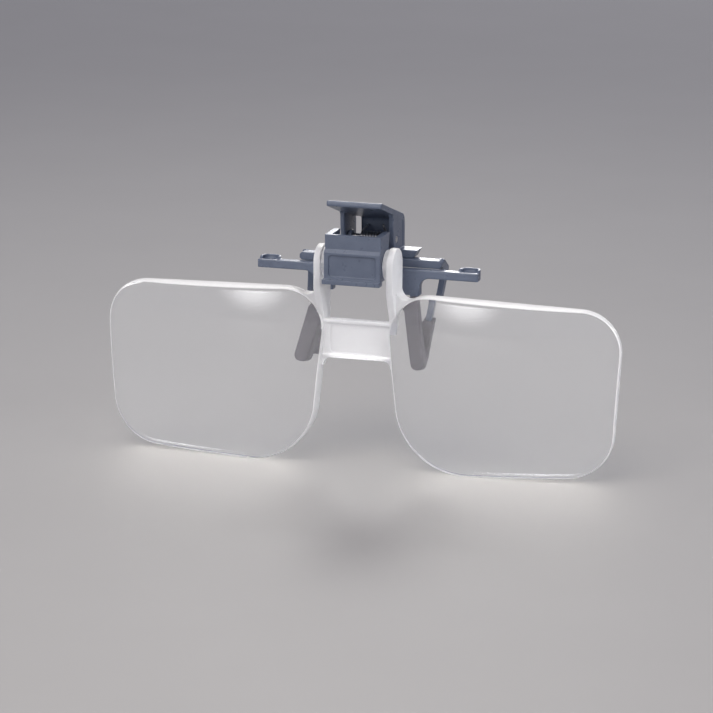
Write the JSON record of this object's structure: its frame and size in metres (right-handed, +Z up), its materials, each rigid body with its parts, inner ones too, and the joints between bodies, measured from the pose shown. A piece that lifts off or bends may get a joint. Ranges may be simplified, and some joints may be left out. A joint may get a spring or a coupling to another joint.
{
  "type": "clip-on binocular magnifier",
  "caption": "Clear acrylic flip-up magnifying lenses on a small spring clip that grips ordinary spectacles.",
  "frame": {"origin": "centre of the footprint, on the surface that the lens edges stand on", "axes": "+X across, from the viewer's left lens to the right one; +Y towards the wearer's face; +Z up"},
  "size_m": [0.1142, 0.021, 0.058],
  "materials": {
    "clear_acrylic": "polished clear acrylic, frosted field on the bridge",
    "blue_grey_plastic": "moulded blue-grey plastic, soft satin",
    "grey_rubber": "soft matt grey rubber",
    "spring_steel": "plain bright steel"
  },
  "bodies": {
    "clip_front": {"hinge_housing": "blue_grey_plastic", "front_jaw": "blue_grey_plastic", "pivot_pin": "spring_steel", "torsion_spring": "spring_steel", "friction_ring_left": "grey_rubber", "friction_ring_right": "grey_rubber", "front_pad_left": "grey_rubber", "front_pad_right": "grey_rubber"},
    "lever": {"press_lever": "blue_grey_plastic", "rear_jaw": "blue_grey_plastic", "rear_pad_left": "grey_rubber", "rear_pad_right": "grey_rubber"},
    "lens": {"lens_unit": "clear_acrylic"}
  },
  "joints": [
    {"name": "lens_flip", "type": "hinge", "parent": "clip_front", "child": "lens", "pos_m": [0, -0.00507, 0.0443], "axis": [-1, 0, 0], "range_deg": [0, 95]},
    {"name": "clip_open", "type": "hinge", "parent": "clip_front", "child": "lever", "pos_m": [0, 0.00373, 0.048], "axis": [1, 0, 0], "range_deg": [0, 18], "stiffness_Nm_per_rad": 0.03, "springref_deg": -51.57, "deforming": ["torsion_spring"]}
  ]
}
